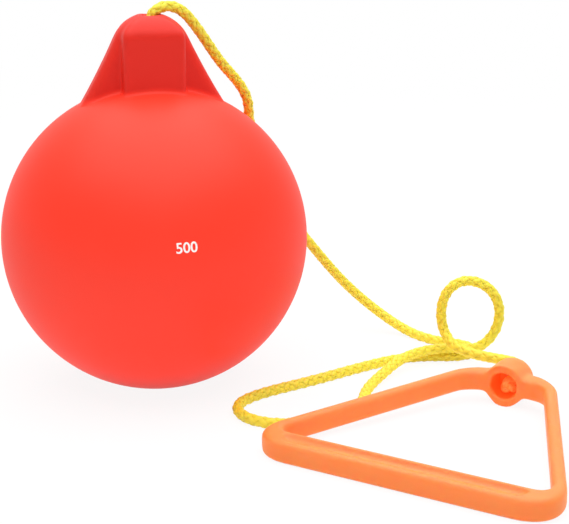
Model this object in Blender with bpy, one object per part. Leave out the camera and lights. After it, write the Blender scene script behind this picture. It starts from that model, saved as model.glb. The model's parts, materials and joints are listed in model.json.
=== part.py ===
"""A training throwing hammer: a hollow soft-plastic ball with a neck, a plaited rope that swivels
in the neck, and a moulded triangular handle that turns on the rope's other end.

The ball stands on the flat of its foot at the origin. The handle lies on the same floor with its grip
along X, and the rope runs between them in one unbroken length."""

import math

import bmesh
import bpy
import numpy as np
from mathutils import Matrix, Vector

MM = 0.001
GAP = 0.3  # between touching pieces, in mm
NEAR_POLE = 84.0  # where a turned dome's last ring stands before its pole, in degrees
PAST_FACE = 3.0  # how far a cutter runs out past the face that it opens, in mm

# Driving dimensions, in mm. The ball.
BALL_RADIUS = 70.4
FOOT_RADIUS = 14.6
BALL_WALL = 3.5
BALL_CENTRE_Z = math.sqrt(BALL_RADIUS**2 - FOOT_RADIUS**2)
SAND_DEPTH = 22.0

# The neck, moulded with the ball: a rounded square block under a domed cap, with a web down either side.
# A squareness is the power of the rounded rectangle that an outline follows.
NECK_TURN = math.radians(45.0)
BLOCK_HALF_WIDTH = 13.4
BLOCK_HALF_DEPTH = 13.8
BLOCK_SQUARENESS = 5.0
WEB_HALF_THICKNESS = 7.0
WEB_SQUARENESS = 4.0
WEB_TOP_HALF_LENGTH = 14.8
WEB_SLOPE = 0.46
WEB_FLARE = 0.0022  # how much the webs' slope grows with depth
WEB_BLEND_SHARPNESS = 14.0
NECK_ROOT_Z = 118.0
NECK_LEVELS = 7
DOME_EDGE_Z = 163.6
DOME_TOP_Z = 172.0
DOME_LEVELS = 8
DOME_SQUARENESS_LOSS = 2.5
SOCKET_RADIUS = 9.0
SOCKET_ROOF_Z = 165.0
NECK_BORE_RADIUS = 3.3
NECK_MOUTH_RADIUS = 5.2

# The rope.
ROPE_DIAMETER = 4.8
ROPE_RADIUS = ROPE_DIAMETER / 2
ROPE_ON_FLOOR = ROPE_RADIUS

# The handle, in its own plane: X along the grip, Y from the grip to the rope, origin on the rope's axis.
HANDLE_X = 154.65
HANDLE_Y = 56.3
HANDLE_YAW = math.radians(0.7)
GRIP_TO_SHOULDER = 107.8
GRIP_HALF_LENGTH = 67.6
SHOULDER_HALF_LENGTH = 19.0
BARS_OFF_AXIS = 1.35  # how far the bars' middle lies to one side of the boss
HANDLE_THICKNESS = 9.8
GRIP_WIDTH = 12.8
LEG_WIDTH = 5.8
SHOULDER_WIDTH = 10.6
EDGE_ROUNDING = 2.6
GRIP_OUTER_FILLET = 15.4
GRIP_INNER_FILLET = 5.0
SHOULDER_OUTER_FILLET = 22.0
SHOULDER_INNER_FILLET = 9.0
BOSS_RADIUS = 9.8
BOSS_NEAR_END = -5.3
BOSS_ROUND_START = 4.8
BOSS_EDGE_ROUNDING = 1.0
RECESS_RADIUS = 6.2
RECESS_DEPTH_TO = 6.0
BOSS_BORE_RADIUS = 2.8
BOSS_MOUTH_DEPTH = 1.8
CHANNEL_FROM_INNER_EDGE = 4.0
CHANNEL_CUTTER_RADIUS = 4.3
CHANNEL_DEPTH = 1.4
CHANNEL_HALF_LENGTH = 54.5

# The boss is thicker than the grip, so on a floor the handle leans on both.
BOSS_REST = BOSS_NEAR_END + BOSS_EDGE_ROUNDING
GRIP_REST = -(GRIP_TO_SHOULDER + GRIP_WIDTH / 2 - EDGE_ROUNDING)
HANDLE_TILT = math.atan((BOSS_RADIUS - HANDLE_THICKNESS / 2) / (BOSS_REST - GRIP_REST))
HANDLE_Z = BOSS_RADIUS * math.cos(HANDLE_TILT) - BOSS_REST * math.sin(HANDLE_TILT)

# The small pieces inside the neck and the boss.
PLUG_SHANK_RADIUS = SOCKET_RADIUS - GAP
PLUG_FLANGE_RADIUS = 11.5
PLUG_BOTTOM_Z = 130.8
PLUG_STEP_Z = 134.0
PLUG_TOP_Z = 149.0
BALL_WASHER_RADIUS = 8.3
BALL_WASHER_HOLE = 3.5
BALL_WASHER_Z = (163.5, 164.7)
WASHER_BEVEL = 0.2
KNOT_FULLNESS = 2.6
KNOT_LOBE_DEPTH = 0.07
KNOT_TWIST = 2.2
BALL_KNOT_RADIUS = 7.0
BALL_KNOT_Z = (150.5, 163.2)
HANDLE_WASHER_RADIUS = 5.6
HANDLE_WASHER_HOLE = 2.9
HANDLE_WASHER_Y = (4.8, 5.7)
HANDLE_KNOT_RADIUS = 5.3
HANDLE_KNOT_Y = (-1.0, 4.5)

# The rope's route, in mm: out of the neck and over the ball, a turn back on itself on the floor, along
# the handle, one small loop, and over its own crossing to the boss.
ROPE_ROUTE = [
    (-0.4, -0.3, 163.5), (-0.4, -0.1, 167.0), (1.1, 1.6, 172.2), (4.4, 6.1, 174.6), (7.4, 12.1, 172.8),
    (8.8, 18.9, 167.4), (9.9, 27.9, 158.0), (11.8, 39.1, 145.4), (14.1, 48.4, 136.0), (15.3, 54.1, 127.4),
    (13.6, 58.2, 118.9), (13.1, 61.9, 108.5), (14.0, 66.8, 97.0), (14.8, 71.8, 87.0), (18.1, 83.0, 67.5),
    (26.2, 96.3, 47.2), (37.6, 110.7, 25.6), (53.5, 119.1, 10.2), (70.6, 118.7, 3.2), (86.0, 114.6, 2.4),
    (94.3, 114.2, 2.4), (101.4, 115.1, 2.4), (108.0, 113.7, 2.4), (111.9, 108.8, 2.4), (112.3, 102.9, 2.4),
    (108.9, 97.7, 2.4), (98.7, 90.7, 2.4), (89.1, 81.2, 2.4), (79.1, 61.2, 2.4), (65.5, 22.9, 2.4),
    (57.0, -0.9, 2.4), (57.1, -15.7, 2.4), (67.9, -26.4, 2.4), (83.6, -25.8, 2.4), (98.0, -11.0, 2.4),
    (103.2, 11.0, 2.4), (96.3, 30.5, 2.4), (93.0, 53.5, 4.0), (93.8, 74.2, 6.0), (101.3, 88.5, 7.1),
    (111.5, 96.2, 7.3), (118.7, 100.2, 8.0), (124.3, 103.1, 13.2), (127.5, 104.6, 21.7), (126.9, 103.2, 32.7),
    (123.4, 100.5, 38.7), (118.4, 96.8, 42.0), (112.6, 92.5, 42.1), (108.0, 89.0, 38.1), (105.8, 87.0, 31.5),
    (105.8, 86.3, 24.6), (107.5, 85.9, 18.9), (111.3, 83.7, 15.4), (117.5, 80.1, 13.5), (125.0, 78.3, 12.6),
    (132.5, 78.8, 12.0), (139.5, 80.6, 11.4), (145.0, 81.3, 11.1), (149.7, 79.9, 10.9),
]
ROPE_STRAIGHT_IN_BOSS = (15.5, 10.6, HANDLE_WASHER_Y[0])

# Colours and surfaces: linear red, green and blue, then roughness.
SURFACES = {
    "ball": ((0.93, 0.075, 0.035), 0.42),
    "rope": ((0.84, 0.66, 0.05), 0.8),
    "handle": ((0.98, 0.24, 0.07), 0.5),
    "washer": ((0.55, 0.55, 0.57), 0.35),
    "plug": ((0.12, 0.12, 0.13), 0.6),
    "sand": ((0.48, 0.37, 0.22), 0.95),
}


def clear_scene():
    for obj in list(bpy.data.objects):
        bpy.data.objects.remove(obj)


def material(name):
    colour, roughness = SURFACES[name]
    made = bpy.data.materials.new(name)
    made.use_nodes = True
    shader = made.node_tree.nodes["Principled BSDF"]
    shader.inputs["Base Color"].default_value = (*colour, 1.0)
    shader.inputs["Roughness"].default_value = roughness
    shader.inputs["Metallic"].default_value = 1.0 if name == "washer" else 0.0
    return made


def add_object(name, mesh, surface=None):
    """A new object from a bmesh in mm, shaded smooth apart from its sharp edges."""
    bmesh.ops.recalc_face_normals(mesh, faces=mesh.faces)
    bmesh.ops.scale(mesh, vec=(MM, MM, MM), verts=mesh.verts)
    data = bpy.data.meshes.new(name)
    mesh.to_mesh(data)
    mesh.free()
    data.shade_smooth()
    data.set_sharp_from_angle(angle=math.radians(35))
    obj = bpy.data.objects.new(name, data)
    bpy.context.scene.collection.objects.link(obj)
    if surface:
        data.materials.append(surface)
    return obj


def hide_cutter(obj):
    obj.hide_render = True
    obj.display_type = "WIRE"


def boolean(obj, other, operation):
    step = obj.modifiers.new(operation.lower(), "BOOLEAN")
    step.operation = operation
    step.solver = "EXACT"
    step.object = other
    hide_cutter(other)


def loft(rings, closed_way=False):
    """A closed skin over rings with the same number of points, its ends capped unless the way closes."""
    mesh = bmesh.new()
    rows = [[mesh.verts.new(point) for point in ring] for ring in rings]
    count = len(rows[0])
    pairs = list(zip(rows, rows[1:]))
    if closed_way:
        pairs.append((rows[-1], rows[0]))
    for row, after in pairs:
        for i in range(count):
            j = (i + 1) % count
            mesh.faces.new((row[i], row[j], after[j], after[i]))
    if not closed_way:
        mesh.faces.new(rows[0])
        mesh.faces.new(rows[-1])
    return mesh


def turned(profile, segments):
    """A solid turned about Z from (radius, height) points; a radius of 0 makes a pole."""
    mesh = bmesh.new()
    rows = []
    for radius, height in profile:
        if radius < 1e-6:
            rows.append([mesh.verts.new((0, 0, height))])
            continue
        rows.append([
            mesh.verts.new((radius * math.cos(a), radius * math.sin(a), height))
            for a in (math.tau * i / segments for i in range(segments))
        ])
    if len(rows[0]) > 1:
        rows.append(rows[0])
    for row, after in zip(rows, rows[1:]):
        for i in range(segments):
            j = (i + 1) % segments
            corners = [row[i % len(row)], row[j % len(row)], after[j % len(after)], after[i % len(after)]]
            mesh.faces.new(list(dict.fromkeys(corners)))
    return mesh


def arc(radius, start, end, steps, centre=(0.0, 0.0)):
    """Points on a circle's arc, from one angle to another in degrees."""
    angles = np.radians(np.linspace(start, end, steps + 1))
    return [(centre[0] + radius * math.cos(a), centre[1] + radius * math.sin(a)) for a in angles]


def superellipse(angle, half_a, half_b, power):
    """How far a rounded rectangle's outline lies from its middle in one direction."""
    across = abs(math.cos(angle) / half_a) ** power
    along = abs(math.sin(angle) / half_b) ** power
    return (across + along) ** (-1 / power)


def neck_ring(height, web_half_length, scale=1.0, steps=72):
    """One level of the neck: the block's outline and the webs' together, scaled in for the cap."""
    ring = []
    squareness = BLOCK_SQUARENESS - DOME_SQUARENESS_LOSS * (1 - scale)
    for i in range(steps):
        angle = math.tau * i / steps
        block = superellipse(angle, BLOCK_HALF_WIDTH * scale, BLOCK_HALF_DEPTH * scale, squareness)
        webs = superellipse(angle, web_half_length * scale, WEB_HALF_THICKNESS * scale, WEB_SQUARENESS)
        blended = (block**WEB_BLEND_SHARPNESS + webs**WEB_BLEND_SHARPNESS) ** (1 / WEB_BLEND_SHARPNESS)
        reach = (blended + max(block, webs)) / 2
        turn = angle + NECK_TURN
        ring.append((reach * math.cos(turn), reach * math.sin(turn), height))
    return ring


def dome_height(radius):
    """The height of the neck's cap at a distance from its middle."""
    rise = DOME_TOP_Z - DOME_EDGE_Z
    dome_radius = (WEB_TOP_HALF_LENGTH**2 + rise**2) / (2 * rise)
    return DOME_TOP_Z - dome_radius + math.sqrt(dome_radius**2 - radius**2)


def neck_mesh():
    rings = []
    wall_top = DOME_EDGE_Z - 1.6
    for height in np.linspace(NECK_ROOT_Z, wall_top, NECK_LEVELS):
        down = wall_top - height
        rings.append(neck_ring(height, WEB_TOP_HALF_LENGTH + WEB_SLOPE * down + WEB_FLARE * down**2))
    rings.append(neck_ring(DOME_EDGE_Z, WEB_TOP_HALF_LENGTH))
    for angle in np.radians(np.linspace(21.0, 86.5, DOME_LEVELS)):
        scale = math.cos(angle)
        height = dome_height(scale * WEB_TOP_HALF_LENGTH)
        rings.append(neck_ring(height, WEB_TOP_HALF_LENGTH, scale))
    return loft(rings)


def build_ball(surface):
    foot_angle = math.degrees(math.asin(-BALL_CENTRE_Z / BALL_RADIUS))
    outline = [(0.0, 0.0)] + arc(BALL_RADIUS, foot_angle, NEAR_POLE, 30, (0.0, BALL_CENTRE_Z))
    outline.append((0.0, BALL_CENTRE_Z + BALL_RADIUS))
    shell = add_object("ball_shell", turned(outline, 56), surface)
    neck = add_object("neck_form", neck_mesh())

    inner = BALL_RADIUS - BALL_WALL
    socket_angle = math.degrees(math.acos(SOCKET_RADIUS / inner))
    mouth_z = dome_height(NECK_MOUTH_RADIUS)
    flare = NECK_MOUTH_RADIUS - NECK_BORE_RADIUS
    hollow = [(0.0, BALL_CENTRE_Z - inner)]
    hollow += arc(inner, -NEAR_POLE, socket_angle, 22, (0.0, BALL_CENTRE_Z))
    hollow += [
        (SOCKET_RADIUS, SOCKET_ROOF_Z), (NECK_BORE_RADIUS, SOCKET_ROOF_Z),
        (NECK_BORE_RADIUS, mouth_z - flare), (NECK_MOUTH_RADIUS + PAST_FACE, mouth_z + PAST_FACE),
        (0.0, mouth_z + PAST_FACE),
    ]
    hollow_form = add_object("ball_hollow_form", turned(hollow, 36))
    boolean(shell, neck, "UNION")
    boolean(shell, hollow_form, "DIFFERENCE")


def build_sand(surface):
    radius = BALL_RADIUS - BALL_WALL - GAP
    bottom = BALL_CENTRE_Z - radius
    level_angle = math.degrees(math.asin((SAND_DEPTH - radius) / radius))
    outline = [(0.0, bottom)] + arc(radius, -NEAR_POLE, level_angle, 8, (0.0, BALL_CENTRE_Z))
    outline.append((0.0, bottom + SAND_DEPTH))
    add_object("sand_fill", turned(outline, 36), surface)


def build_plug(surface):
    lip = 0.8
    lead_in = 1.5
    outline = [
        (0.0, PLUG_BOTTOM_Z), (PLUG_FLANGE_RADIUS - lip, PLUG_BOTTOM_Z),
        (PLUG_FLANGE_RADIUS, PLUG_BOTTOM_Z + lip), (PLUG_FLANGE_RADIUS, PLUG_STEP_Z),
        (PLUG_SHANK_RADIUS, PLUG_STEP_Z), (PLUG_SHANK_RADIUS, PLUG_TOP_Z - lead_in),
        (PLUG_SHANK_RADIUS - lead_in, PLUG_TOP_Z), (0.0, PLUG_TOP_Z),
    ]
    add_object("neck_plug", turned(outline, 28), surface)


def washer_mesh(radius, hole, span):
    rim = radius - WASHER_BEVEL
    return turned([
        (hole, span[0]), (rim, span[0]), (radius, span[0] + WASHER_BEVEL),
        (radius, span[1] - WASHER_BEVEL), (rim, span[1]), (hole, span[1]),
    ], 28)


def knot_mesh(radius, span, lobes=3, rows=9, steps=24):
    """An overhand knot's outer form: a rounded lump whose three bights wind round it."""
    rings = []
    middle = (span[0] + span[1]) / 2
    half = (span[1] - span[0]) / 2
    for i in range(rows):
        t = -1 + 2 * (i + 0.35) / (rows - 0.3)
        reach = radius * (1 - abs(t) ** KNOT_FULLNESS) ** (1 / KNOT_FULLNESS)
        ring = []
        for j in range(steps):
            angle = math.tau * j / steps
            lobe = 1 - KNOT_LOBE_DEPTH * (1 - math.cos(lobes * angle + KNOT_TWIST * t))
            ring.append((reach * lobe * math.cos(angle), reach * lobe * math.sin(angle), middle + half * t))
        rings.append(ring)
    return loft(rings)


def natural_spline(points, step):
    """Close points on the smooth curve through points: a natural cubic over the chord lengths."""
    points = np.array(points, float)
    spans = np.linalg.norm(np.diff(points, axis=0), axis=1)
    count = len(points)
    system = np.eye(count)
    right = np.zeros((count, 3))
    for i in range(1, count - 1):
        before, after = spans[i - 1], spans[i]
        system[i, i - 1:i + 2] = before, 2 * (before + after), after
        right[i] = 6 * ((points[i + 1] - points[i]) / after - (points[i] - points[i - 1]) / before)
    bend = np.linalg.solve(system, right)
    curve = []
    for i, span in enumerate(spans):
        a = np.arange(0, span, step)[:, None]
        b = span - a
        curve.append(
            (bend[i] * b**3 + bend[i + 1] * a**3) / (6 * span)
            + (points[i] / span - bend[i] * span / 6) * b
            + (points[i + 1] / span - bend[i + 1] * span / 6) * a
        )
    return np.vstack([*curve, points[-1:]])


def thinned(curve, slack=0.6, shortest=6.4, longest=21.0):
    """Fewer points of a curve: close together in its bends and far apart on its straights."""
    ahead = np.gradient(curve, axis=0)
    turning = np.gradient(ahead, axis=0)
    speed = np.linalg.norm(ahead, axis=1)
    radius = speed**3 / np.maximum(np.linalg.norm(np.cross(ahead, turning), axis=1), 1e-9)
    window = 12
    kept = [0]
    gone = 0.0
    for i in range(1, len(curve) - 1):
        gone += float(np.linalg.norm(curve[i] - curve[i - 1]))
        tightest = radius[max(0, i - window):i + window].min()
        if gone >= min(max(math.sqrt(8 * slack * tightest), shortest), longest):
            kept.append(i)
            gone = 0.0
    if np.linalg.norm(curve[-1] - curve[kept[-1]]) < shortest:
        kept.pop()
    return curve[kept + [len(curve) - 1]]


def handle_point(x, y, z=0.0):
    """A point of the handle's own plane, in mm in the world."""
    turned_out = Matrix.Rotation(HANDLE_YAW, 4, "Z") @ Matrix.Rotation(HANDLE_TILT, 4, "X")
    return tuple(turned_out @ Vector((x, y, z)) + Vector((HANDLE_X, HANDLE_Y, HANDLE_Z)))


def least_gap(curve, apart=20.0):
    """The least distance between two stretches of the curve that aren't neighbours, less one diameter."""
    gone = np.r_[0, np.cumsum(np.linalg.norm(np.diff(curve, axis=0), axis=1))]
    between = np.linalg.norm(curve[:, None] - curve[None], axis=2)
    between[np.abs(gone[:, None] - gone[None]) < apart] = np.inf
    return float(between.min()) - ROPE_DIAMETER


def build_rope(surface):
    route = ROPE_ROUTE + [handle_point(0.0, y) for y in ROPE_STRAIGHT_IN_BOSS]
    curve = natural_spline(route, 0.8)
    curve[:, 2] = np.maximum(curve[:, 2], ROPE_ON_FLOOR)
    length = float(np.linalg.norm(np.diff(curve, axis=0), axis=1).sum())
    points = thinned(curve)
    print(f"rope {length:.0f} mm long, {len(points)} points, {least_gap(points):.2f} mm clear of itself")
    data = bpy.data.curves.new("rope", "CURVE")
    data.dimensions = "3D"
    data.bevel_depth = ROPE_RADIUS * MM
    data.bevel_resolution = 3
    data.use_fill_caps = True
    line = data.splines.new("POLY")
    line.points.add(len(points) - 1)
    for vertex, point in zip(line.points, points):
        vertex.co = (*(point * MM), 1.0)
    data.materials.append(surface)
    rope = bpy.data.objects.new("rope", data)
    bpy.context.scene.collection.objects.link(rope)


def fillet(before, corner, after, radius, steps):
    """The arc that rounds one corner of an outline."""
    corner = Vector(corner)
    back = (Vector(before) - corner).normalized()
    ahead = (Vector(after) - corner).normalized()
    half = back.angle(ahead) / 2
    centre = corner + (back + ahead).normalized() * radius / math.sin(half)
    start = corner + back * radius / math.tan(half)
    end = corner + ahead * radius / math.tan(half)
    first = (start - centre).to_2d()
    turn = first.angle_signed((end - centre).to_2d())
    points = []
    for i in range(steps + 1):
        angle = -turn * i / steps
        points.append(centre + Vector((
            first.x * math.cos(angle) - first.y * math.sin(angle),
            first.x * math.sin(angle) + first.y * math.cos(angle), 0.0,
        )))
    return points


def bar_corners(outward):
    """The four corners of the triangle's outline, with each bar's edge moved outward from its middle line."""
    run = Vector((GRIP_HALF_LENGTH - SHOULDER_HALF_LENGTH, GRIP_TO_SHOULDER))
    lean = run.x / run.y
    leg_shift = outward * (LEG_WIDTH / 2) * run.length / run.y
    grip_y = -GRIP_TO_SHOULDER - outward * GRIP_WIDTH / 2
    shoulder_y = outward * SHOULDER_WIDTH / 2

    def leg_x(y):
        return SHOULDER_HALF_LENGTH - lean * y + leg_shift

    ends = [(-1, grip_y), (1, grip_y), (1, shoulder_y), (-1, shoulder_y)]
    return [(BARS_OFF_AXIS + side * leg_x(y), y, 0.0) for side, y in ends]


def bar_section(outer, inner, corner_steps=3):
    """The bar's rounded cross-section between its outer and inner edge."""
    across = (outer - inner).normalized()
    middle = (outer + inner) / 2
    half_width = (outer - inner).length / 2 - EDGE_ROUNDING
    half_height = HANDLE_THICKNESS / 2 - EDGE_ROUNDING
    ring = []
    for quarter, (side, top) in enumerate(((1, 1), (-1, 1), (-1, -1), (1, -1))):
        for i in range(corner_steps + 1):
            angle = math.radians(90 * quarter + 90 * i / corner_steps)
            reach = side * half_width + EDGE_ROUNDING * math.cos(angle)
            height = top * half_height + EDGE_ROUNDING * math.sin(angle)
            ring.append(middle + across * reach + Vector((0, 0, height)))
    return ring


def triangle_mesh():
    """The handle's closed frame: a wide grip, two legs and a short shoulder."""
    outer, inner = bar_corners(1), bar_corners(-1)
    rings = []
    for i in range(4):
        at_grip = i < 2
        outer_radius = GRIP_OUTER_FILLET if at_grip else SHOULDER_OUTER_FILLET
        inner_radius = GRIP_INNER_FILLET if at_grip else SHOULDER_INNER_FILLET
        steps = 9 if at_grip else 5
        outer_arc = fillet(outer[i - 1], outer[i], outer[(i + 1) % 4], outer_radius, steps)
        inner_arc = fillet(inner[i - 1], inner[i], inner[(i + 1) % 4], inner_radius, steps)
        rings += [bar_section(a, b) for a, b in zip(outer_arc, inner_arc)]
    return loft(rings, closed_way=True)


def along_handle_axis(mesh):
    """Turns a mesh that was turned about Z so that its axis is the handle's Y."""
    bmesh.ops.rotate(mesh, verts=mesh.verts, matrix=Matrix.Rotation(math.radians(-90), 3, "X"))
    return mesh


def boss_mesh():
    edge = BOSS_EDGE_ROUNDING
    outline = [(0.0, BOSS_NEAR_END)]
    outline += arc(edge, -90, 0, 3, (BOSS_RADIUS - edge, BOSS_NEAR_END + edge))
    outline += arc(BOSS_RADIUS, 0, NEAR_POLE, 9, (0.0, BOSS_ROUND_START))
    outline.append((0.0, BOSS_ROUND_START + BOSS_RADIUS))
    return along_handle_axis(turned(outline, 36))


def recess_mesh():
    near = BOSS_NEAR_END - PAST_FACE
    tip = BOSS_ROUND_START + BOSS_RADIUS
    mouth_radius = BOSS_BORE_RADIUS + BOSS_MOUTH_DEPTH + PAST_FACE
    return along_handle_axis(turned([
        (0.0, near), (RECESS_RADIUS, near), (RECESS_RADIUS, RECESS_DEPTH_TO),
        (BOSS_BORE_RADIUS, RECESS_DEPTH_TO), (BOSS_BORE_RADIUS, tip - BOSS_MOUTH_DEPTH),
        (mouth_radius, tip + PAST_FACE), (0.0, tip + PAST_FACE),
    ], 28))


def channel_mesh(side):
    """A long round-ended cutter that leaves the shallow channel in one face of the grip."""
    straight = CHANNEL_HALF_LENGTH - CHANNEL_CUTTER_RADIUS
    outline = [(0.0, -CHANNEL_HALF_LENGTH)]
    outline += arc(CHANNEL_CUTTER_RADIUS, -NEAR_POLE, 0, 4, (0.0, -straight))
    outline += arc(CHANNEL_CUTTER_RADIUS, 0, NEAR_POLE, 4, (0.0, straight))
    outline.append((0.0, CHANNEL_HALF_LENGTH))
    mesh = turned(outline, 24)
    bmesh.ops.rotate(mesh, verts=mesh.verts, matrix=Matrix.Rotation(math.radians(90), 3, "Y"))
    y = -GRIP_TO_SHOULDER + GRIP_WIDTH / 2 - CHANNEL_FROM_INNER_EDGE
    z = side * (HANDLE_THICKNESS / 2 + CHANNEL_CUTTER_RADIUS - CHANNEL_DEPTH)
    bmesh.ops.translate(mesh, verts=mesh.verts, vec=(BARS_OFF_AXIS, y, z))
    return mesh


def build_handle(surface, rope_surface):
    pivot = bpy.data.objects.new("handle_pivot", None)
    bpy.context.scene.collection.objects.link(pivot)
    pivot.location = Vector((HANDLE_X, HANDLE_Y, HANDLE_Z)) * MM
    pivot.rotation_euler = (HANDLE_TILT, 0.0, HANDLE_YAW)
    handle = add_object("handle", triangle_mesh(), surface)
    forms = [
        (add_object("boss_form", boss_mesh()), "UNION"),
        (add_object("recess_form", recess_mesh()), "DIFFERENCE"),
        (add_object("upper_channel_form", channel_mesh(1)), "DIFFERENCE"),
        (add_object("lower_channel_form", channel_mesh(-1)), "DIFFERENCE"),
    ]
    for form, operation in forms:
        boolean(handle, form, operation)
        form.parent = pivot
    washer = washer_mesh(HANDLE_WASHER_RADIUS, HANDLE_WASHER_HOLE, HANDLE_WASHER_Y)
    knot = knot_mesh(HANDLE_KNOT_RADIUS, HANDLE_KNOT_Y, rows=7, steps=20)
    handle.parent = pivot
    add_object("handle_washer", along_handle_axis(washer), surface).parent = pivot
    add_object("handle_knot", along_handle_axis(knot), rope_surface).parent = pivot


def main():
    clear_scene()
    surfaces = {name: material(name) for name in SURFACES}
    build_ball(surfaces["ball"])
    build_sand(surfaces["sand"])
    build_plug(surfaces["plug"])
    washer = washer_mesh(BALL_WASHER_RADIUS, BALL_WASHER_HOLE, BALL_WASHER_Z)
    add_object("ball_washer", washer, surfaces["washer"])
    add_object("ball_knot", knot_mesh(BALL_KNOT_RADIUS, BALL_KNOT_Z), surfaces["rope"])
    build_rope(surfaces["rope"])
    build_handle(surfaces["handle"], surfaces["rope"])


main()
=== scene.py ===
"""Looks of the training throwing hammer: a soft red ball with a ribbed neck, a yellow plaited rope and
an orange moulded grip handle. Sizes are in millimetres, turned to metres where they meet Blender."""

import json
import math

import bmesh
import bpy
import numpy as np
from mathutils import Matrix, Vector


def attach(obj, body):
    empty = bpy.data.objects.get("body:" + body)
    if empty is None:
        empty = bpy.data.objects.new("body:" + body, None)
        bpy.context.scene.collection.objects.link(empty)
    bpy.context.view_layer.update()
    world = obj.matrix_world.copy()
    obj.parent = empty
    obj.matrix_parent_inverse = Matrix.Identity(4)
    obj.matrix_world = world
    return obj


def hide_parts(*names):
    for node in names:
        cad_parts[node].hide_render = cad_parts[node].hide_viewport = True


MM = 0.001

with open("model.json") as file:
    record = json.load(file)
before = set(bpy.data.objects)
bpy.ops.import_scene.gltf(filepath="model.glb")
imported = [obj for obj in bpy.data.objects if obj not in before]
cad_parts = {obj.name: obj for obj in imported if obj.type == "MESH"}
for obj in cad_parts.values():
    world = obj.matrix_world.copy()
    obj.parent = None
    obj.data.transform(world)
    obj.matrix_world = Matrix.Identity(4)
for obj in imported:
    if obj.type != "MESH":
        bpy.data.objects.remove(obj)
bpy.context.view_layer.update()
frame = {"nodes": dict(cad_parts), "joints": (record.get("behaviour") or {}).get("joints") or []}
nodes = frame["nodes"]

# The camera stands where the photograph's did, in mm, and looks level along its heading, tipped down.
EYE = (411.6, -531.8, 238.9)
HEADING = math.radians(32.62)
TIPPED_DOWN = math.radians(15.22)
LENS = 94.15

# The ball and its neck: a squarish block, two webs that slope down its sides, and a soft cap.
BALL_RADIUS = 70.4
FOOT_RADIUS = 14.6
BALL_WALL = 3.5
BALL_CENTRE_Z = math.sqrt(BALL_RADIUS**2 - FOOT_RADIUS**2)
NECK_TURN = math.radians(45.0)
BLOCK_HALF_WIDTH = 14.0
BLOCK_HALF_DEPTH = 14.0
BLOCK_ROUNDING = 2.6
WEB_HALF_THICKNESS = 7.0
WEB_TOP_HALF_LENGTH = 15.5
WEB_SLOPE = 0.46
WEB_FLARE = 0.0022
WEB_ROUNDING = 4.5
DOME_EDGE_Z = 163.6
DOME_TOP_Z = 172.0
NECK_FOOT_Z = 112.0
SHOULDER_Z = 120.0
WEB_LEVELS = 9
CAP_RINGS = 14
CAP_ARC = (18.0, 86.0)
CAP_MELT_BELOW = 3.0
CAP_MELT_ROUNDS = 40
NECK_PAINTED_SHADE_FADE = 2.5
SOCKET_RADIUS = 9.0
SOCKET_ROOF_Z = 165.0
SOCKET_OVERLAP = 4.0
NECK_BORE_RADIUS = 3.3
NECK_BORE_LENGTH = 12.0
NECK_BORE_DROP = 2.0
NECK_MOUTH_RADIUS = 5.2
NECK_MOUTH_SPREAD = 2.0
NECK_MOUTH_DEPTH = 3.9

# How the skins are meshed: the ball's segments and rings, the voxels that melt edges, and small margins.
BALL_MESH = (256, 128)
HOLLOW_MESH = (96, 48)
NECK_VOXEL = 0.6
NECK_ROUNDS = 12
HANDLE_VOXEL = 0.5
HANDLE_ROUNDS = 4
MELT_FACTOR = 0.6
SETTLE_WITHIN = 0.08
SETTLE_FADE = 0.35
SLIVER = 0.005
SHARP_FROM = math.radians(40)
HAIR = 0.01
CUT_MARGIN = 2.0

# The rope: eight strands, four each way, one over and one under, on a round core. The seams shift each
# strand's filaments, so that no two strands look alike.
ROPE_DIAMETER = 4.8
PLAIT_PITCH = 22.0
STRANDS_EACH_WAY = 4
STRAND_HALF_THICKNESS = 0.62
STRAND_HALF_WIDTH = 1.36
STRAND_RISE = 0.26
ROPE_REACH = 2.62
STRAND_SIDES = 8
STRAND_STEP = 0.72
STRAND_SEAMS = (7.3, 3.1)
CORE_SIDES = 10
CORE_EVERY = 3
LINE_STEP = 0.4
KNOT_POINTS = 160
ROPE_ROUTE = [
    (-0.4, -0.3, 163.5), (-0.4, -0.1, 167.0), (1.1, 1.6, 172.2), (4.4, 6.1, 174.6), (7.4, 12.1, 172.8),
    (8.8, 18.9, 167.4), (9.9, 27.9, 158.0), (11.8, 39.1, 145.4), (14.1, 48.4, 136.0), (15.3, 54.1, 127.4),
    (13.6, 58.2, 118.9), (13.1, 61.9, 108.5), (14.0, 66.8, 97.0), (14.8, 71.8, 87.0), (18.1, 83.0, 67.5),
    (26.2, 96.3, 47.2), (37.6, 110.7, 25.6), (53.5, 119.1, 10.2), (70.6, 118.7, 3.2), (86.0, 114.6, 2.4),
    (94.3, 114.2, 2.4), (101.4, 115.1, 2.4), (108.0, 113.7, 2.4), (111.9, 108.8, 2.4), (112.3, 102.9, 2.4),
    (108.9, 97.7, 2.4), (98.7, 90.7, 2.4), (89.1, 81.2, 2.4), (79.1, 61.2, 2.4), (65.5, 22.9, 2.4),
    (57.0, -0.9, 2.4), (57.1, -15.7, 2.4), (67.9, -26.4, 2.4), (83.6, -25.8, 2.4), (98.0, -11.0, 2.4),
    (103.2, 11.0, 2.4), (96.3, 30.5, 2.4), (93.0, 53.5, 4.0), (93.8, 74.2, 6.0), (101.3, 88.5, 7.1),
    (111.5, 96.2, 7.3), (118.7, 100.2, 8.0), (124.3, 103.1, 13.2), (127.5, 104.6, 21.7), (126.9, 103.2, 32.7),
    (123.4, 100.5, 38.7), (118.4, 96.8, 42.0), (112.6, 92.5, 42.1), (108.0, 89.0, 38.1), (105.8, 87.0, 31.5),
    (105.8, 86.3, 24.6), (107.5, 85.9, 18.9), (111.3, 83.7, 15.4), (117.5, 80.1, 13.5), (125.0, 78.3, 12.6),
    (132.5, 78.8, 12.0), (139.5, 80.6, 11.4), (145.0, 81.3, 11.1), (149.7, 79.9, 10.9),
]
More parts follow.
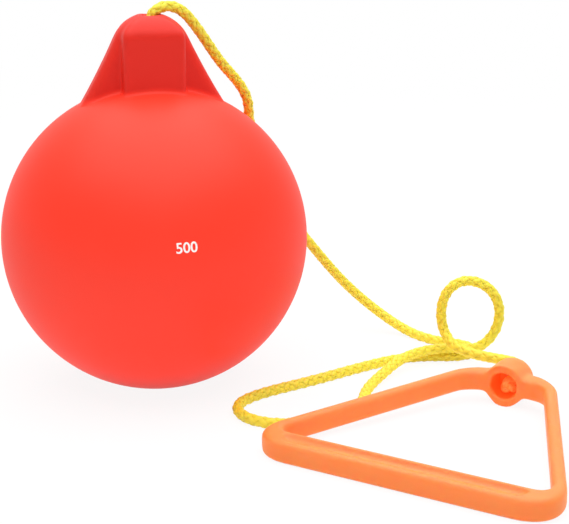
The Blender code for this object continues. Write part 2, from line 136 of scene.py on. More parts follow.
ROPE_STRAIGHT_IN_BOSS = (15.5, 10.6, 4.8)

# The plain number printed on the ball, and where its middle lies on the ball's skin.
MARK_TEXT = "500"
MARK_AT = (52.0, -45.9, 80.8)
MARK_TURN = math.radians(1.5)
MARK_SIZE = 6.3
MARK_BOLDNESS = 0.1
MARK_THICKNESS = 0.06
MARK_REACH = 3.0

# The rope's two knots: middle along their axis, reach from it, half depth and the tight rope's width.
BALL_KNOT = {"middle": 156.8, "reach": 4.9, "half_depth": 4.1, "width": 4.0}
HANDLE_KNOT = {"middle": 1.7, "reach": 2.6, "half_depth": 1.2, "width": 3.2}
HANDLE_KNOT_SAG = 1.9
KNOT_STEP = 0.9

# The handle, in its own plane: X along the grip, Y towards the rope, origin on the rope's axis.
GRIP_TO_SHOULDER = 107.8
GRIP_HALF_LENGTH = 67.6
SHOULDER_HALF_LENGTH = 19.0
BARS_OFF_AXIS = 1.35
HANDLE_THICKNESS = 9.8
GRIP_WIDTH = 12.8
LEG_WIDTH = 5.8
SHOULDER_WIDTH = 10.6
EDGE_ROUNDING = 2.7
GRIP_FILLETS = (15.4, 5.0)
SHOULDER_FILLETS = (22.0, 9.0)
BOSS_RADIUS = 9.8
BOSS_NEAR_END = -5.3
BOSS_ROUND_START = 4.8
RECESS_RADIUS = 6.2
RECESS_DEPTH_TO = 6.0
RECESS_MARGINS = (0.4, 0.6)
# Painted glow: inside the recess and on the knot there, a deeper orange and a faint emission stand in for the
# light that comes through the plastic.
RECESS_GLOW_DEPTH = 2.0
RECESS_GLOW = 0.28
KNOT_GLOW = 0.24
BOSS_BORE_RADIUS = 2.8
CORNER_FROM = 0.7
JUNCTION_REACH = 6.0
JUNCTION_FADE = 2.5
JUNCTION_ROUNDS = 50
CHANNEL_HALF_LENGTH = 54.5
CHANNEL_END = 6.0
CHANNEL_END_ARC = (18.0, 36.0, 54.0, 72.0, 84.0)
CHANNEL_ROUNDING = 1.9

# The channel's section: how far in from the grip's inner edge, and how far above its face.
CHANNEL_RIM = (1.6, 0.6)
CHANNEL_DEEPEST = (4.7, -2.9)
CHANNEL_BRINK = (11.4, 0.1)

# The light: one broad soft lamp overhead, in metres and watts, and a little from all round and below.
PLAIN_WHITE = (1.0, 1.0, 1.0, 1.0)
LAMP_PLACE = (0.15, 0.0, 1.4)
LAMP_SIZE = 2.4
LAMP_WATTS = 49.0
WORLD_LIGHT = 0.1
FLOOR_SIZE = 8.0
FLOOR_FADE = (0.3, 1.1)
FLOOR_GLOW = 0.9
FLOOR_UPLIGHT = 0.15


def handle_frame():
    """Places the handle's own plane in the world, from the joint that it turns on."""
    joint = next(j for j in frame["joints"] if j["name"] == "handle_turn")
    axis = Vector(joint["axis"])
    yaw = Matrix.Rotation(math.atan2(-axis.x, axis.y), 4, "Z")
    tilt = Matrix.Rotation(math.asin(axis.z), 4, "X")
    return Matrix.Translation(Vector(joint["pos_m"])) @ yaw @ tilt


HANDLE_FRAME = handle_frame()


def set_camera():
    """The camera where the photograph's stood, and colours shown as they are."""
    data = bpy.data.cameras.new("camera")
    data.sensor_width = 36.0
    data.lens = LENS
    camera = bpy.data.objects.new("camera", data)
    bpy.context.scene.collection.objects.link(camera)
    camera.location = Vector(EYE) * MM
    camera.rotation_euler = (math.pi / 2 - TIPPED_DOWN, 0.0, HEADING)
    bpy.context.scene.camera = camera
    bpy.context.scene.view_settings.view_transform = "Standard"


def linear(hex_colour):
    """An sRGB hex colour as the linear values that a node holds."""
    parts = [int(hex_colour[i:i + 2], 16) / 255 for i in (1, 3, 5)]
    return (*(c / 12.92 if c <= 0.04045 else ((c + 0.055) / 1.055) ** 2.4 for c in parts), 1.0)


def add_node(tree, kind, settings=None, **inputs):
    """Adds a node, sets its properties, and sets or links its inputs, named as their sockets are."""
    made = tree.nodes.new(kind)
    for key, value in (settings or {}).items():
        setattr(made, key, value)
    for key, value in inputs.items():
        socket = made.inputs[int(key[1:]) if key[0] == "_" else key.replace("_", " ")]
        if isinstance(value, bpy.types.NodeSocket):
            tree.links.new(value, socket)
        else:
            socket.default_value = value
    return made


def blend(tree, share, first, second):
    """Mixes two colours by a share."""
    made = add_node(tree, "ShaderNodeMix", {"data_type": "RGBA"}, Factor=share, _6=first, _7=second)
    return made.outputs[2]


def noise(tree, place, scale, detail):
    """A cloudy pattern; the scale is its number of clouds in one unit of the place."""
    return add_node(tree, "ShaderNodeTexNoise", Vector=place, Scale=scale, Detail=detail).outputs["Fac"]


def between(tree, value, low, high):
    """Turns a value from 0 to 1 into one from low to high."""
    return add_node(tree, "ShaderNodeMapRange", Value=value, To_Min=low, To_Max=high).outputs["Result"]


def spot(tree):
    """The place on the object, in metres."""
    return add_node(tree, "ShaderNodeTexCoord").outputs["Object"]


def kept_share(tree, name):
    """A share from 0 to 1 that is kept with the mesh's points."""
    return add_node(tree, "ShaderNodeAttribute", {"attribute_name": name}).outputs["Fac"]


def new_material(name):
    made = bpy.data.materials.new(name)
    made.use_nodes = True
    made.node_tree.nodes.clear()
    return made, made.node_tree


def finish_material(tree, shader):
    add_node(tree, "ShaderNodeOutputMaterial", Surface=shader.outputs[0])


def select_only(obj):
    bpy.ops.object.select_all(action="DESELECT")
    obj.select_set(True)
    bpy.context.view_layer.objects.active = obj


def modify(obj, kind, **settings):
    """Adds a modifier and applies it."""
    select_only(obj)
    step = obj.modifiers.new(kind.lower(), kind)
    for key, value in settings.items():
        setattr(step, key, value)
    bpy.ops.object.modifier_apply(modifier=step.name)


def cut(obj, other, operation="DIFFERENCE"):
    """Cuts a second closed shape out of the first, or joins the two, and uses the second up."""
    modify(obj, "BOOLEAN", operation=operation, solver="EXACT", object=other)
    bpy.data.objects.remove(other)


def add_primitive(kind, name, **settings):
    """A new primitive from Blender's own set, selected alone."""
    bpy.ops.object.select_all(action="DESELECT")
    getattr(bpy.ops.mesh, f"primitive_{kind}_add")(**settings)
    bpy.context.object.name = name
    return bpy.context.object


def in_edit_mode(obj):
    """Opens an object for editing with nothing selected, and returns its edit mesh."""
    select_only(obj)
    bpy.ops.object.mode_set(mode="EDIT")
    bpy.ops.mesh.select_all(action="DESELECT")
    return bmesh.from_edit_mesh(obj.data)


def pick(obj, mesh, kind, chosen):
    """Selects the vertices, edges or faces of an edit mesh that a test chooses."""
    bpy.ops.mesh.select_all(action="DESELECT")
    bpy.ops.mesh.select_mode(type={"verts": "VERT", "edges": "EDGE", "faces": "FACE"}[kind])
    for part in getattr(mesh, kind):
        if chosen(part):
            part.select_set(True)
    mesh.select_flush_mode()
    bmesh.update_edit_mesh(obj.data)


def join(first, *others):
    select_only(first)
    for other in others:
        other.select_set(True)
    bpy.ops.object.join()
    return first


def soften(obj, voxel, rounds):
    """Melts overlapping closed shapes into one skin, and lets its sharp corners relax."""
    modify(obj, "REMESH", mode="VOXEL", voxel_size=voxel * MM)
    modify(obj, "SMOOTH", factor=0.5, iterations=rounds)


def points_of(obj):
    """The mesh's points, one row each, in metres."""
    points = np.empty(len(obj.data.vertices) * 3, np.float32)
    obj.data.vertices.foreach_get("co", points)
    return points.reshape(-1, 3)


def keep_share(obj, name, shares):
    """Keeps a share from 0 to 1 with each of the mesh's points, for its finish."""
    kept = obj.data.attributes.new(name, "FLOAT", "POINT")
    kept.data.foreach_set("value", np.asarray(shares, np.float32))


def wear(obj, finish):
    """Gives an object one finish alone."""
    obj.data.materials.clear()
    obj.data.materials.append(finish)


def melt_where(obj, name, weight_at, rounds):
    """Relaxes the skin where a weight of more than nothing is given for a point, in mm."""
    group = obj.vertex_groups.new(name=name)
    for vertex in obj.data.vertices:
        weight = min(1.0, weight_at(*(vertex.co / MM)))
        if weight > 0.0:
            group.add([vertex.index], weight, "REPLACE")
    modify(obj, "SMOOTH", factor=MELT_FACTOR, iterations=rounds, vertex_group=name)


def natural_spline(points, step):
    """Close points on the smooth curve through points: a natural cubic over the chord lengths."""
    points = np.array(points, float)
    spans = np.linalg.norm(np.diff(points, axis=0), axis=1)
    count = len(points)
    system = np.eye(count)
    right = np.zeros((count, 3))
    for i in range(1, count - 1):
        before, after = spans[i - 1], spans[i]
        system[i, i - 1:i + 2] = before, 2 * (before + after), after
        right[i] = 6 * ((points[i + 1] - points[i]) / after - (points[i] - points[i - 1]) / before)
    bend = np.linalg.solve(system, right)
    curve = []
    for i, span in enumerate(spans):
        a = np.arange(0, span, step)[:, None]
        b = span - a
        curve.append(
            (bend[i] * b**3 + bend[i + 1] * a**3) / (6 * span)
            + (points[i] / span - bend[i] * span / 6) * b
            + (points[i + 1] / span - bend[i + 1] * span / 6) * a
        )
    return np.vstack([*curve, points[-1:]])


def carried_frames(line):
    """Two directions square to a line at each of its points, carried along it without twisting."""
    ahead = np.gradient(line, axis=0)
    ahead /= np.linalg.norm(ahead, axis=1)[:, None]
    side = np.cross(ahead[0], (0.0, 0.0, 1.0))
    if np.linalg.norm(side) < 0.1:
        side = np.cross(ahead[0], (1.0, 0.0, 0.0))
    sides = [side / np.linalg.norm(side)]
    for direction in ahead[1:]:
        carried = sides[-1] - direction * (sides[-1] @ direction)
        sides.append(carried / np.linalg.norm(carried))
    sides = np.array(sides)
    return sides, np.cross(ahead, sides)


def plait(name, line, diameter, step=STRAND_STEP):
    """A plaited rope round a line, in mm: strands that wind both ways, over and under, on a core."""
    size = diameter / ROPE_DIAMETER
    middle = (ROPE_REACH - STRAND_HALF_THICKNESS - STRAND_RISE) * size
    along = np.r_[0.0, np.cumsum(np.linalg.norm(np.diff(line, axis=0), axis=1))]
    one, other = carried_frames(line)
    turn_rate = math.tau / (PLAIT_PITCH * size)
    slant = math.atan(middle * turn_rate)
    rings = np.linspace(0.0, along[-1], max(8, round(along[-1] / (step * size))))
    corners = np.arange(STRAND_SIDES) * math.tau / STRAND_SIDES
    across = STRAND_HALF_WIDTH * size * np.cos(corners)
    out = STRAND_HALF_THICKNESS * size * np.sin(corners)

    def place(at, angle, radius):
        at = np.clip(at, 0.0, along[-1])
        centre, a, b = (
            np.stack([np.interp(at, along, values[:, k]) for k in range(3)], axis=-1)
            for values in (line, one, other)
        )
        return centre + radius[..., None] * (np.cos(angle)[..., None] * a + np.sin(angle)[..., None] * b)

    points, faces, uvs, depths = [], [], [], []

    def tube(grid, level, seam):
        """One closed tube from a grid of rings, with its run and its way round as UVs."""
        start = sum(len(p) for p in points)
        count, sides = grid.shape[:2]
        points.append(grid.reshape(-1, 3))
        depths.append(level.reshape(-1))
        for i in range(count - 1):
            a, b = start + i * sides, start + (i + 1) * sides
            u, v = (ring / diameter + seam for ring in rings[i:i + 2])
            for j in range(sides):
                k = (j + 1) % sides
                faces.append((a + j, a + k, b + k, b + j))
                uvs.extend([(j / sides, u), ((j + 1) / sides, u), ((j + 1) / sides, v), (j / sides, v)])
        faces.append(tuple(range(start + sides - 1, start - 1, -1)))
        faces.append(tuple(range(start + (count - 1) * sides, start + count * sides)))
        uvs.extend([(0.5, seam)] * 2 * sides)

    for way in (1, -1):
        rise = way * STRAND_RISE * size * np.cos(STRANDS_EACH_WAY * turn_rate * rings)
        for k in range(STRANDS_EACH_WAY):
            angle = way * turn_rate * rings + k * math.tau / STRANDS_EACH_WAY
            radius = (middle + rise)[:, None] + out[None]
            at = rings[:, None] - way * math.sin(slant) * across[None]
            winding_radius = (middle + rise)[:, None].clip(1.0 * size)
            wound = angle[:, None] + math.cos(slant) * across[None] / winding_radius
            grid = place(at, wound, radius)
            if way == -1:
                grid = grid[:, ::-1]
                radius = radius[:, ::-1]
            tube(grid, radius / (diameter / 2), STRAND_SEAMS[0] * k + STRAND_SEAMS[1] * way)
    round_core = np.arange(CORE_SIDES) * math.tau / CORE_SIDES
    core = place(
        np.repeat(rings[:, None], CORE_SIDES, 1), np.repeat(round_core[None], len(rings), 0),
        np.full((len(rings), CORE_SIDES), middle),
    )
    kept = sorted({*range(0, len(rings), CORE_EVERY), len(rings) - 1})
    rings = rings[kept]
    core = core[kept]
    tube(core, np.full(core.shape[:2], middle / (diameter / 2)), 0.0)

    data = bpy.data.meshes.new(name)
    data.from_pydata((np.vstack(points) * MM).tolist(), [], faces)
    layer = data.uv_layers.new(name="UVMap")
    layer.data.foreach_set("uv", np.array(uvs, np.float32).ravel())
    data.shade_smooth()
    obj = bpy.data.objects.new(name, data)
    bpy.context.scene.collection.objects.link(obj)
    keep_share(obj, "lay_height", np.concatenate(depths))
    return obj


def rope_line():
    """The rope's middle line, in mm, from the neck's washer to the boss's, nowhere below the floor."""
    in_boss = [tuple(HANDLE_FRAME @ Vector((0.0, y * MM, 0.0)) / MM) for y in ROPE_STRAIGHT_IN_BOSS]
    route = ROPE_ROUTE + in_boss
    line = natural_spline(route, LINE_STEP)
    line[:, 2] = np.maximum(line[:, 2], ROPE_DIAMETER / 2)
    return line


def knot_line(place, reach, half_depth):
    """An overhand knot's closed run, in mm: three bights round its middle, pulled tight."""
    t = np.linspace(0.0, math.tau, KNOT_POINTS)
    x = (np.sin(t) + 2 * np.sin(2 * t)) / 3 * reach
    y = (np.cos(t) - 2 * np.cos(2 * t)) / 3 * reach
    z = -np.sin(3 * t) * half_depth
    return np.array([tuple(place @ Vector(point)) for point in zip(x, y, z)])


def tie_knot(name, sizes, place, finish):
    """One knot of the rope, plaited like the rest of it."""
    line = knot_line(place, sizes["reach"], sizes["half_depth"])
    knot = plait(name, line, sizes["width"], KNOT_STEP)
    wear(knot, finish)
    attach(knot, "rope")
    return knot


def polypropylene_plait(name, crease, dull, bright, glow=0.0):
    """Polypropylene yarn, plaited: bright and slightly waxy, with filaments along each strand.

    The filaments are drawn a few times coarser than real ones, so that they still show.
    """
    made, tree = new_material(name)
    uv = add_node(tree, "ShaderNodeUVMap").outputs["UV"]
    clear_of_painted_shade = add_node(
        tree, "ShaderNodeMapRange", {"interpolation_type": "SMOOTHSTEP"},
        Value=kept_share(tree, "lay_height"), From_Min=0.5, From_Max=0.92,
    ).outputs["Result"]
    along = add_node(tree, "ShaderNodeMapping", Vector=uv, Scale=(26.0, 0.8, 1.0)).outputs["Vector"]
    filaments = noise(tree, along, 1.0, 3.0)
    crown = blend(tree, filaments, linear(dull), linear(bright))
    # Painted shade: the creases between strands take the darker, more orange crease colour, and the crowns
    # take the filament colours.
    base = blend(tree, clear_of_painted_shade, linear(crease), crown)
    bump = add_node(tree, "ShaderNodeBump", Strength=0.35, Distance=0.0002, Height=filaments)
    # glow, when set, is a painted glow: an emission in the plait's colours that stands in for light through
    # nearby plastic.
    shader = add_node(
        tree, "ShaderNodeBsdfPrincipled", Base_Color=base, Roughness=0.55, IOR=1.49,
        Subsurface_Weight=0.35, Subsurface_Radius=(1.0, 0.8, 0.25), Subsurface_Scale=0.0012,
        Emission_Color=base, Emission_Strength=glow, Normal=bump.outputs["Normal"],
    )
    finish_material(tree, shader)
    return made


def moulded_vinyl():
    """Soft vinyl, rotationally moulded: satin, a faint orange peel, and a darker red painted on the neck as
    shade.
    """
    made, tree = new_material("rotomoulded vinyl")
    place = spot(tree)
    cloud = noise(tree, place, 28.0, 3.0)
    thin = blend(tree, cloud, linear("#FD3A25"), linear("#FF3D28"))
    # Painted shade: the neck is coloured a darker red than the ball, standing in for the shade that falls on
    # it; thin is the ball's own red.
    base = blend(tree, kept_share(tree, "thick_wall"), thin, linear("#DE281A"))
    peel = noise(tree, place, 900.0, 2.0)
    bump = add_node(tree, "ShaderNodeBump", Strength=0.12, Distance=0.0003, Height=peel)
    shader = add_node(
        tree, "ShaderNodeBsdfPrincipled", Base_Color=base, Roughness=between(tree, cloud, 0.45, 0.55),
        IOR=1.5, Specular_IOR_Level=0.25, Normal=bump.outputs["Normal"],
    )
    finish_material(tree, shader)
    return made


def moulded_polyethylene():
    """Polyethylene, injection moulded: softer and waxier than the ball, and it lets some light through.

    In the recess it is painted a deeper orange with a faint painted glow, for the light that comes through
    the plastic there. Its spark-eroded grain, about a tenth of a millimetre on the real part, is drawn
    several times coarser.
    """
    made, tree = new_material("injection moulded polyethylene")
    place = spot(tree)
    outside = blend(tree, noise(tree, place, 40.0, 2.0), linear("#FE8A42"), linear("#FF9049"))
    inside = kept_share(tree, "inside_recess")
    # Painted light: inside the recess the colour turns a deeper orange and a faint emission glows, standing
    # in for the light that comes through the plastic.
    base = blend(tree, inside, outside, linear("#FF5A18"))
    grain = noise(tree, place, 1600.0, 2.0)
    bump = add_node(tree, "ShaderNodeBump", Strength=0.15, Distance=0.0002, Height=grain)
    shader = add_node(
        tree, "ShaderNodeBsdfPrincipled", Base_Color=base, Roughness=0.48, IOR=1.51,
        Specular_IOR_Level=0.35, Subsurface_Weight=0.9, Subsurface_Radius=(1.0, 0.3, 0.1),
        Subsurface_Scale=between(tree, inside, 0.0025, 0.014), Emission_Color=linear("#FF6C22"),
        Emission_Strength=between(tree, inside, 0.0, RECESS_GLOW), Normal=bump.outputs["Normal"],
    )
    finish_material(tree, shader)
    return made


def zinc_steel():
    """Zinc-plated steel: grey metal with a cloudy blue-grey bloom, a few millimetres to a cloud."""
    made, tree = new_material("zinc plated steel")
    bloom = noise(tree, spot(tree), 350.0, 4.0)
    base = blend(tree, bloom, linear("#A9AFB6"), linear("#C9CDD2"))
    rough = between(tree, bloom, 0.25, 0.45)
    shader = add_node(tree, "ShaderNodeBsdfPrincipled", Base_Color=base, Metallic=1.0, Roughness=rough)
    finish_material(tree, shader)
    return made


def black_rubber():
    """Moulded rubber: near black and matt, with a grain drawn coarser than the real one."""
    made, tree = new_material("moulded rubber")
    grain = noise(tree, spot(tree), 1200.0, 3.0)
    bump = add_node(tree, "ShaderNodeBump", Strength=0.3, Distance=0.0001, Height=grain)
    base = blend(tree, grain, linear("#1B1B1D"), linear("#262628"))
    shader = add_node(
        tree, "ShaderNodeBsdfPrincipled", Base_Color=base, Roughness=0.75, IOR=1.52,
        Normal=bump.outputs["Normal"],
    )
    finish_material(tree, shader)
    return made


def dry_sand():
    """Dry sand: grains about half a millimetre across, from pale quartz to darker brown."""
    made, tree = new_material("dry sand")
    grains = add_node(tree, "ShaderNodeTexVoronoi", Vector=spot(tree), Scale=1900.0)
    shade = blend(tree, grains.outputs["Color"], linear("#8F744A"), linear("#D9C499"))
    bump = add_node(
        tree, "ShaderNodeBump", {"invert": True}, Strength=0.8, Distance=0.0004,
        Height=grains.outputs["Distance"],
    )
    shader = add_node(
        tree, "ShaderNodeBsdfPrincipled", Base_Color=shade, Roughness=0.95, IOR=1.54,
        Normal=bump.outputs["Normal"],
    )
    finish_material(tree, shader)
    return made


def print_ink():
    """White screen-print ink: flat and opaque, uneven where the screen's mesh shows, drawn coarser."""
    made, tree = new_material("screen print ink")
    mesh = noise(tree, spot(tree), 2500.0, 2.0)
    base = blend(tree, mesh, linear("#F4EDEB"), linear("#FFFDFC"))
    shader = add_node(tree, "ShaderNodeBsdfPrincipled", Base_Color=base, Roughness=0.6, IOR=1.48)
    finish_material(tree, shader)
    return made


def bar_corners(outward):
    """The four corners of the handle's outline, each bar's edge moved outward from its middle line."""
    lean = (GRIP_HALF_LENGTH - SHOULDER_HALF_LENGTH) / GRIP_TO_SHOULDER
    leg_shift = outward * (LEG_WIDTH / 2) * math.hypot(1.0, lean)
    grip_y = -GRIP_TO_SHOULDER - outward * GRIP_WIDTH / 2
    shoulder_y = outward * SHOULDER_WIDTH / 2
    grip_x = SHOULDER_HALF_LENGTH - lean * grip_y + leg_shift
    shoulder_x = SHOULDER_HALF_LENGTH - lean * shoulder_y + leg_shift
    ends = [(-grip_x, grip_y), (grip_x, grip_y), (shoulder_x, shoulder_y), (-shoulder_x, shoulder_y)]
    return [(BARS_OFF_AXIS + x, y) for x, y in ends]


def corner_turn(vertex):
    """How far an outline turns at one of its vertices, in radians."""
    one, other = (edge.other_vert(vertex).co - vertex.co for edge in vertex.link_edges[:2])
    return math.pi - one.angle(other)


def rounded_prism(name, outward, half_height):
    """A flat block in the handle's outline, with its four upright corners rounded."""
    obj = add_primitive("plane", name, size=1.0)
    corners = bar_corners(outward)
    for vertex, corner in zip(obj.data.vertices, (corners[0], corners[1], corners[3], corners[2])):
        vertex.co = (corner[0] * MM, corner[1] * MM, -half_height * MM)
    lean = math.atan((GRIP_HALF_LENGTH - SHOULDER_HALF_LENGTH) / GRIP_TO_SHOULDER)
    side = 0 if outward > 0 else 1
    middle_y = -GRIP_TO_SHOULDER / 2 * MM
    for near_grip, radius, corner_angle in (
        (True, GRIP_FILLETS[side], math.pi / 2 - lean),
        (False, SHOULDER_FILLETS[side], math.pi / 2 + lean),
    ):
        mesh = in_edit_mode(obj)
        sharp = [v for v in mesh.verts if (v.co.y < middle_y) == near_grip and corner_turn(v) > CORNER_FROM]
        pick(obj, mesh, "verts", lambda v, sharp=sharp: v in sharp)
        bpy.ops.mesh.bevel(
            offset=radius / math.tan(corner_angle / 2) * MM, segments=16, affect="VERTICES", profile=0.5,
        )
        bpy.ops.object.mode_set(mode="OBJECT")
    mesh = in_edit_mode(obj)
    bpy.ops.mesh.select_all(action="SELECT")
    bpy.ops.mesh.extrude_region_move(TRANSFORM_OT_translate={"value": (0.0, 0.0, 2 * half_height * MM)})
    bpy.ops.mesh.select_all(action="SELECT")
    bpy.ops.mesh.normals_make_consistent(inside=False)
    bpy.ops.object.mode_set(mode="OBJECT")
    return obj


def round_rims(obj, height, offset, segments):
    """Bevels the edges round a flat block's top and bottom faces."""

    def is_rim(edge):
        one, other = (vertex.co.z for vertex in edge.verts)
        at_height = abs(abs(one) - height * MM) < 1e-6 and abs(one - other) < 1e-7
        return at_height and len({abs(face.normal.z) > 0.5 for face in edge.link_faces}) == 2

    mesh = in_edit_mode(obj)
    pick(obj, mesh, "edges", is_rim)
    bpy.ops.mesh.bevel(offset=offset * MM, segments=segments, affect="EDGES", profile=0.5)
    bpy.ops.object.mode_set(mode="OBJECT")


def lie_along_y(obj, middle_y):
    """Turns an upright primitive to lie along the handle's rope axis, and fixes its place in its mesh."""
    obj.rotation_euler = (-math.pi / 2, 0.0, 0.0)
    obj.location = (0.0, middle_y * MM, 0.0)
    select_only(obj)
    bpy.ops.object.transform_apply()
    return obj


def drum(name, radius, low, high, sides=96):
    """A round bar along the handle's rope axis between two places, in mm."""
    made = add_primitive("cylinder", name, vertices=sides, radius=radius * MM, depth=(high - low) * MM)
    return lie_along_y(made, (low + high) / 2)


def channel_cutter(side):
    """The scoop in one face of the grip: deepest beside the inner rim, rising to the outer edge."""
    made = add_primitive("plane", "channel_cutter", size=1.0)
    straight = CHANNEL_HALF_LENGTH - CHANNEL_END
    section = [CHANNEL_DEEPEST, CHANNEL_BRINK, CHANNEL_RIM, (CHANNEL_BRINK[0], CHANNEL_RIM[1])]
    for vertex, (inward, height) in zip(made.data.vertices, section):
        y = -GRIP_TO_SHOULDER + GRIP_WIDTH / 2 - inward
        vertex.co = (-straight * MM, y * MM, side * (HANDLE_THICKNESS / 2 + height) * MM)
    deepest = made.data.vertices[0].co.copy()
    top = made.data.vertices[2].co.z
    mesh = in_edit_mode(made)
    pick(made, mesh, "verts", lambda v: (v.co - deepest).length < 1e-6)
    bpy.ops.mesh.bevel(offset=CHANNEL_ROUNDING * MM, segments=6, affect="VERTICES", profile=0.5)
    bpy.ops.mesh.select_all(action="SELECT")
    bpy.ops.mesh.extrude_region_move(TRANSFORM_OT_translate={"value": (2 * straight * MM, 0.0, 0.0)})
    for way in (1, -1):
        reached, width = straight, 1.0
        mesh = bmesh.from_edit_mesh(made.data)
        pick(made, mesh, "faces", lambda f: f.calc_center_median().x * way > (straight - HAIR) * MM)
        for angle in np.radians(CHANNEL_END_ARC):
            out = straight + CHANNEL_END * math.sin(angle)
            bpy.ops.mesh.extrude_region_move(
                TRANSFORM_OT_translate={"value": (way * (out - reached) * MM, 0.0, 0.0)},
            )
            narrower = math.cos(angle) / width
            bpy.ops.transform.resize(
                value=(1.0, narrower, narrower), center_override=(0.0, deepest.y, top),
            )
            reached, width = out, math.cos(angle)
    bpy.ops.mesh.select_all(action="SELECT")
    bpy.ops.transform.translate(value=(BARS_OFF_AXIS * MM, 0.0, 0.0))
    bpy.ops.mesh.normals_make_consistent(inside=False)
    bpy.ops.object.mode_set(mode="OBJECT")
    return made


def melt_junction(handle):
    """Relaxes the crease round the boss, where it meets the shoulder, into a soft hollow."""
    meet_x = math.sqrt(BOSS_RADIUS**2 - (HANDLE_THICKNESS / 2) ** 2)

    def nearness(x, y, z):
        away = math.hypot(abs(x) - meet_x, abs(z) - HANDLE_THICKNESS / 2)
        along = max(0.0, abs(y) - SHOULDER_WIDTH / 2)
        return 2.0 * (1.0 - max(away / JUNCTION_REACH, along / JUNCTION_FADE))

    melt_where(handle, "junction", nearness, JUNCTION_ROUNDS)


def mark_recess_painted_glow(handle):
    """Marks the recess's inside, which light mostly reaches through the plastic, for a painted deeper orange
    and painted glow.
    """
    x, y, z = (points_of(handle) / MM).T
    near_wall, near_floor = RECESS_MARGINS
    within = (np.hypot(x, z) < RECESS_RADIUS + near_wall) & (y < RECESS_DEPTH_TO + near_floor)
    deep = np.clip((y - BOSS_NEAR_END) / RECESS_GLOW_DEPTH, 0.0, 1.0)
    keep_share(handle, "inside_recess", np.where(within, deep, 0.0))


def handle_skin(finish):
    """The moulded handle: one bar round a triangle, a boss melted into its shoulder, two channels."""
    half = HANDLE_THICKNESS / 2
    handle = rounded_prism("handle_moulding", 1, half)
    cut(handle, rounded_prism("handle_window", -1, half + CUT_MARGIN))
    round_rims(handle, half, EDGE_ROUNDING, 6)
    boss = drum("boss_drum", BOSS_RADIUS, BOSS_NEAR_END, BOSS_ROUND_START)
    cap = add_primitive("uv_sphere", "boss_cap", segments=96, ring_count=48, radius=BOSS_RADIUS * MM)
    lie_along_y(cap, BOSS_ROUND_START)
    cut(boss, cap, "UNION")
    cut(handle, boss, "UNION")
    tip = BOSS_ROUND_START + BOSS_RADIUS
    cut(handle, drum("recess", RECESS_RADIUS, BOSS_NEAR_END - CUT_MARGIN, RECESS_DEPTH_TO))
    cut(handle, drum("bore", BOSS_BORE_RADIUS, 0.0, tip + CUT_MARGIN, 48))
    for side in (1, -1):
        cut(handle, channel_cutter(side))
    soften(handle, HANDLE_VOXEL, HANDLE_ROUNDS)
    melt_junction(handle)
    mark_recess_painted_glow(handle)
    handle.data.transform(HANDLE_FRAME)
    handle.data.shade_smooth()
    wear(handle, finish)
    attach(handle, "handle")
    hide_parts("handle")


def rounded_column(name, half_x, half_y, rounding, levels):
    """A closed column drawn down from the cap's edge; each level is a height and its ends' spread."""
    column = add_primitive("plane", name, size=2.0, location=(0.0, 0.0, DOME_EDGE_Z * MM))
    column.scale = (half_x * MM, half_y * MM, 1.0)
    bpy.ops.object.transform_apply()
    in_edit_mode(column)
    bpy.ops.mesh.select_all(action="SELECT")
    bpy.ops.mesh.bevel(offset=rounding * MM, segments=8, affect="VERTICES", profile=0.5)
    bpy.ops.mesh.select_all(action="SELECT")
    above, reach = DOME_EDGE_Z, 0.0
    for level, spread in levels:
        down = (0.0, 0.0, (level - above) * MM)
        bpy.ops.mesh.extrude_region_move(TRANSFORM_OT_translate={"value": down})
        for side in (1, -1):
            mesh = bmesh.from_edit_mesh(column.data)
            pick(column, mesh, "verts", lambda v: v.co.z < (level + HAIR) * MM and v.co.x * side > 0)
            bpy.ops.transform.translate(value=(side * (spread - reach) * MM, 0.0, 0.0))
        pick(column, mesh, "faces", lambda f: f.calc_center_median().z < (level + HAIR) * MM)
        above, reach = level, spread
    bpy.ops.mesh.select_all(action="SELECT")
    bpy.ops.mesh.normals_make_consistent(inside=False)
    bpy.ops.object.mode_set(mode="OBJECT")
    return column


def draw_cap(column):
    """Draws the column's top face up into the pillow of a cap, ring by ring."""
    rise = DOME_TOP_Z - DOME_EDGE_Z
    dome_radius = (WEB_TOP_HALF_LENGTH**2 + rise**2) / (2 * rise)
    mesh = in_edit_mode(column)
    pick(column, mesh, "faces", lambda f: f.calc_center_median().z > (DOME_EDGE_Z - HAIR) * MM)
    width, level = 1.0, DOME_EDGE_Z
    for angle in np.radians(np.linspace(*CAP_ARC, CAP_RINGS)):
        next_width = math.cos(angle)
        drop = dome_radius - math.sqrt(dome_radius**2 - (next_width * WEB_TOP_HALF_LENGTH) ** 2)
        up = DOME_TOP_Z - drop - level
        bpy.ops.mesh.extrude_region_move(TRANSFORM_OT_translate={"value": (0.0, 0.0, up * MM)})
        narrowing = next_width / width
        bpy.ops.transform.resize(
            value=(narrowing, narrowing, 1.0), center_override=(0.0, 0.0, level * MM),
        )
        width, level = next_width, level + up
    bpy.ops.object.mode_set(mode="OBJECT")
    return column


def neck_form():
    """The neck before its edges melt: a squarish block, and a wedge of two webs that flares downward."""
    block = rounded_column(
        "neck_block", BLOCK_HALF_WIDTH, BLOCK_HALF_DEPTH, BLOCK_ROUNDING, [(NECK_FOOT_Z, 0.0)],
    )
    levels = []
    for level in np.linspace(DOME_EDGE_Z, NECK_FOOT_Z, WEB_LEVELS)[1:]:
        down = DOME_EDGE_Z - level
        levels.append((level, WEB_SLOPE * down + WEB_FLARE * down**2))
    webs = rounded_column(
        "neck_webs", WEB_TOP_HALF_LENGTH, WEB_HALF_THICKNESS, WEB_ROUNDING, levels,
    )
    neck = join(draw_cap(block), draw_cap(webs))
    neck.data.transform(Matrix.Rotation(NECK_TURN, 4, "Z"))
    return neck


